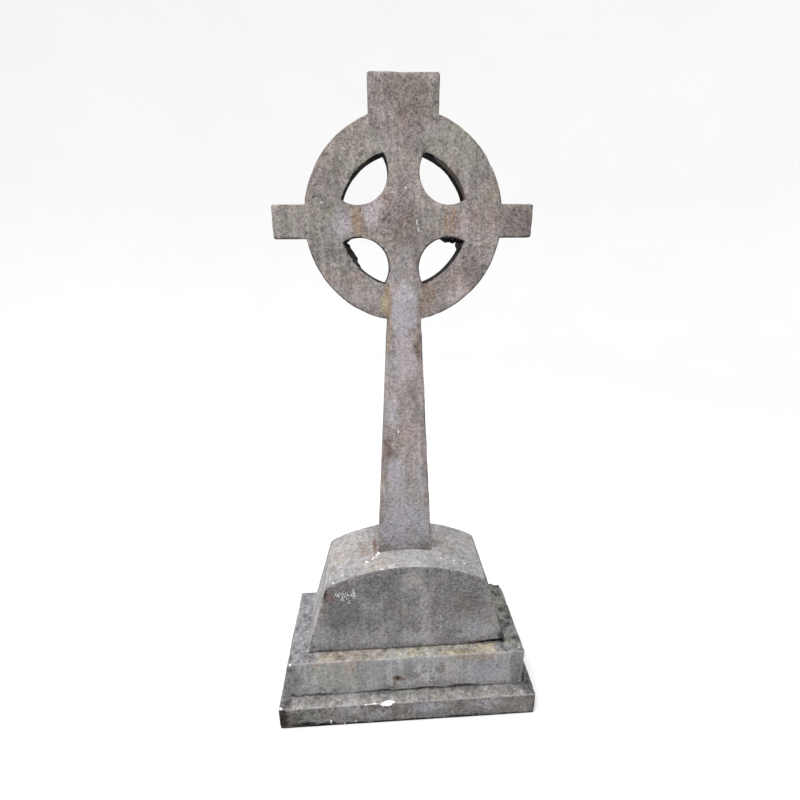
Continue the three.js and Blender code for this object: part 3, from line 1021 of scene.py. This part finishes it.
    # Scratched scuffs and the chips, down to the white core
    scratched = add(tree, inputs={0: fields["scuff"], 1: 0.3, 2: fine}, **TIMES_PLUS)
    paint = covered(tree, paint, scratched, 0.75, 0.88, 0.7, finish.bare_core)
    chipped = add(tree, inputs={0: fine, 1: 0.8, 2: fields["bare"]}, **TIMES_PLUS)
    paint = covered(tree, paint, chipped, 0.72, 0.9, 1, finish.bare_core)

    dull = {VALUE: coarse, LOW: 0.3, HIGH: 0.7, TO_LOW: 0.84, TO_HIGH: 0.96}
    surface = add(tree, "ShaderNodeBsdfPrincipled", {
        "Base Color": paint,
        "Roughness": add(tree, inputs=dull, **RANGE),
        "IOR": 1.45,
        "Specular IOR Level": 0.06,
        "Normal": add(tree, "ShaderNodeBump", {"Height": grain, "Strength": 0.8, "Distance": 1.8 * MM}),
    })
    add(tree, "ShaderNodeOutputMaterial", {"Surface": surface})
    return material


def plain_paper(name, tint):
    """Matt photographic background paper: one soft, even tone with the faintest mottle, 900 mm broad."""
    material, tree = blank_material(name)
    where = add(tree, "ShaderNodeTexCoord", output="Object")
    cloudy = add(tree, inputs={"Vector": where, "Scale": 1 / (900 * MM), "Detail": 2}, **CLOUD)
    mottle = add(tree, inputs={VALUE: cloudy, LOW: 0.3, HIGH: 0.7, TO_LOW: 0.985}, **RANGE)
    paint = add(tree, inputs={FACTOR: 1, FIRST: tint, SECOND: mottle}, **MULTIPLY)
    inputs = {"Base Color": paint, "Roughness": 0.95, "Specular IOR Level": 0.1}
    add(tree, "ShaderNodeOutputMaterial", {"Surface": add(tree, "ShaderNodeBsdfPrincipled", inputs)})
    return material


# Stage, light and camera


# Lengths in metres, but picture and focal length in pixels and sensor in mm; angles in radians
FRAME_PIXELS = 800
SENSOR = 36.0
FOCAL_PIXELS = 456.93
EYE = (-0.0865, -1.2893, 1.5352)
HEADING, TILT, ROLL = 0.0581, -0.3418, 0.0068
PAPER_TONE = "#e7e7e7"


def backdrop():
    """Background paper all round: a level floor that sweeps up into a round wall, as one profile of
    distance and height turned about the upright axis."""
    flat, bend, top = 4.4, 2.2, 7.0
    turn = np.linspace(0, QUARTER, 16)
    reach = np.concatenate([[0.0, 1.5, 3.0], flat + bend * np.sin(turn), [flat + bend]])
    height = np.concatenate([[0.0, 0.0, 0.0], bend * (1 - np.cos(turn)), [top]])
    around = np.linspace(0, 2 * math.pi, 97)
    grid = np.stack(np.broadcast_arrays(
        reach[:, None] * np.cos(around), reach[:, None] * np.sin(around), height[:, None]), axis=-1)
    mesh = bpy.data.meshes.new("backdrop")
    mesh.from_pydata(grid.reshape(-1, 3), [], sheet_faces(len(reach), len(around), 0))
    weld(mesh, MM)
    mesh.shade_smooth()
    mesh.materials.append(plain_paper("background_paper", linear(PAPER_TONE)))
    paper = bpy.data.objects.new("backdrop", mesh)
    bpy.context.scene.collection.objects.link(paper)


def softbox(name, place, target, size, watts):
    """A large square lamp that faces its target."""
    data = bpy.data.lights.new(name, "AREA")
    data.size = size
    data.energy = watts
    lamp = bpy.data.objects.new(name, data)
    lamp.location = place
    lamp.rotation_euler = (Vector(target) - Vector(place)).to_track_quat("-Z", "Y").to_euler()
    bpy.context.scene.collection.objects.link(lamp)


def photo_camera():
    """A camera at standing eye height, close in front, looking down a little to the right."""
    ahead = Vector((math.sin(HEADING) * math.cos(TILT), math.cos(HEADING) * math.cos(TILT), math.sin(TILT)))
    level = Vector((math.cos(HEADING), -math.sin(HEADING), 0))
    below = ahead.cross(level)
    right = math.cos(ROLL) * level + math.sin(ROLL) * below
    down = -math.sin(ROLL) * level + math.cos(ROLL) * below
    data = bpy.data.cameras.new("camera")
    data.sensor_width = SENSOR
    data.lens = FOCAL_PIXELS / FRAME_PIXELS * SENSOR
    camera = bpy.data.objects.new("camera", data)
    turn = Matrix((right, -down, -ahead)).transposed()
    camera.matrix_world = Matrix.Translation(EYE) @ turn.to_4x4()
    bpy.context.scene.collection.objects.link(camera)
    bpy.context.scene.camera = camera


# Operators


def weathered(context, short, form, stains, pitch, wash_and_light, **strengths):
    """Builds one piece in a coat of its own, whose body colour and slot carry the piece's short name."""
    finish = context.scene.coat_finish
    body = tuple(getattr(finish, short + "_grey"))
    coat = textured_coat(short + "_textured_coat", body, tuple(getattr(finish, wash_and_light)), finish, **strengths)
    build_piece(form, pitch, finish, stains, coat)


class MEMORIAL_OT_cross(bpy.types.Operator):
    """Builds the weathered cross with its ring"""

    bl_idname = "memorial.cross"
    bl_label = "Cross"

    def execute(self, context):
        sizes = context.scene.cross_sizes
        form = cross_form(sizes, context.scene.plinth_sizes)
        weathered(context, "cross", form, cross_stains(sizes), CROSS_RIM_PITCH, "lilac_wash_and_light",
                  hue=0.5, grit=0.62, ledge_grit=0)
        return {"FINISHED"}


class MEMORIAL_OT_block(bpy.types.Operator):
    """Builds the tapered block with the arched crown"""

    bl_idname = "memorial.block"
    bl_label = "Plinth block"

    def execute(self, context):
        form = block_form(context.scene.plinth_sizes)
        weathered(context, "block", form, block_stains, PLINTH_RIM_PITCH, "pale_wash_and_light",
                  hue=0.28, grit=0.62, ledge_grit=0.34)
        return {"FINISHED"}


class MEMORIAL_OT_courses(bpy.types.Operator):
    """Builds the step and the base slab"""

    bl_idname = "memorial.courses"
    bl_label = "Step and base slab"

    def execute(self, context):
        plinth = context.scene.plinth_sizes
        step = course_form("plinth_step", STEP_LOW, STEP_HIGH, plinth)
        weathered(context, "step", step, step_stains, PLINTH_RIM_PITCH, "pale_wash_and_light",
                  hue=0.18, grit=0.42, ledge_grit=0.7)
        slab = course_form("base_slab", SLAB_LOW, SLAB_HIGH, plinth)
        weathered(context, "slab", slab, slab_stains, PLINTH_RIM_PITCH, "pale_wash_and_light",
                  hue=0.26, grit=0.64, ledge_grit=0.6)
        return {"FINISHED"}


class MEMORIAL_OT_stage(bpy.types.Operator):
    """Sets the backdrop, the soft lamps and the camera"""

    bl_idname = "memorial.stage"
    bl_label = "Stage"

    def execute(self, context):
        backdrop()
        middle = (0, 0, 0.9)
        softbox("overhead_softbox", (-1.0, -0.8, 4.8), middle, size=2.6, watts=175)
        softbox("front_softbox", (-2.8, -3.2, 2.8), middle, size=2.4, watts=28)
        world = bpy.data.worlds.new("soft_daylight")
        world.use_nodes = True
        sky = world.node_tree.nodes["Background"]
        sky.inputs["Color"].default_value = (1, 1, 1, 1)
        sky.inputs["Strength"].default_value = 1.3
        context.scene.world = world
        context.scene.view_settings.view_transform = "Standard"
        photo_camera()
        return {"FINISHED"}


class MEMORIAL_PT_panel(bpy.types.Panel):
    """Lists the operators and the sizes"""

    bl_label = "Ringed cross memorial"
    bl_idname = "MEMORIAL_PT_panel"
    bl_space_type = "VIEW_3D"
    bl_region_type = "UI"
    bl_category = "Memorial"

    def draw(self, context):
        for operator in OPERATORS:
            self.layout.operator(operator.bl_idname)
        for group in ("cross_sizes", "plinth_sizes", "coat_finish"):
            settings = getattr(context.scene, group)
            for name in settings.__annotations__:
                self.layout.prop(settings, name)


OPERATORS = (MEMORIAL_OT_stage, MEMORIAL_OT_courses, MEMORIAL_OT_block, MEMORIAL_OT_cross)
GROUPS = {"cross_sizes": CrossSizes, "plinth_sizes": PlinthSizes, "coat_finish": CoatFinish}


def register():
    for kind in (*GROUPS.values(), *OPERATORS, MEMORIAL_PT_panel):
        bpy.utils.register_class(kind)
    for name, group in GROUPS.items():
        setattr(bpy.types.Scene, name, bpy.props.PointerProperty(type=group))


def unregister():
    for name in GROUPS:
        delattr(bpy.types.Scene, name)
    for kind in (MEMORIAL_PT_panel, *reversed(OPERATORS), *GROUPS.values()):
        bpy.utils.unregister_class(kind)


def main():
    register()
    for operator in OPERATORS:
        group, name = operator.bl_idname.split(".")
        getattr(getattr(bpy.ops, group), name)()


if __name__ == "__main__":
    main()
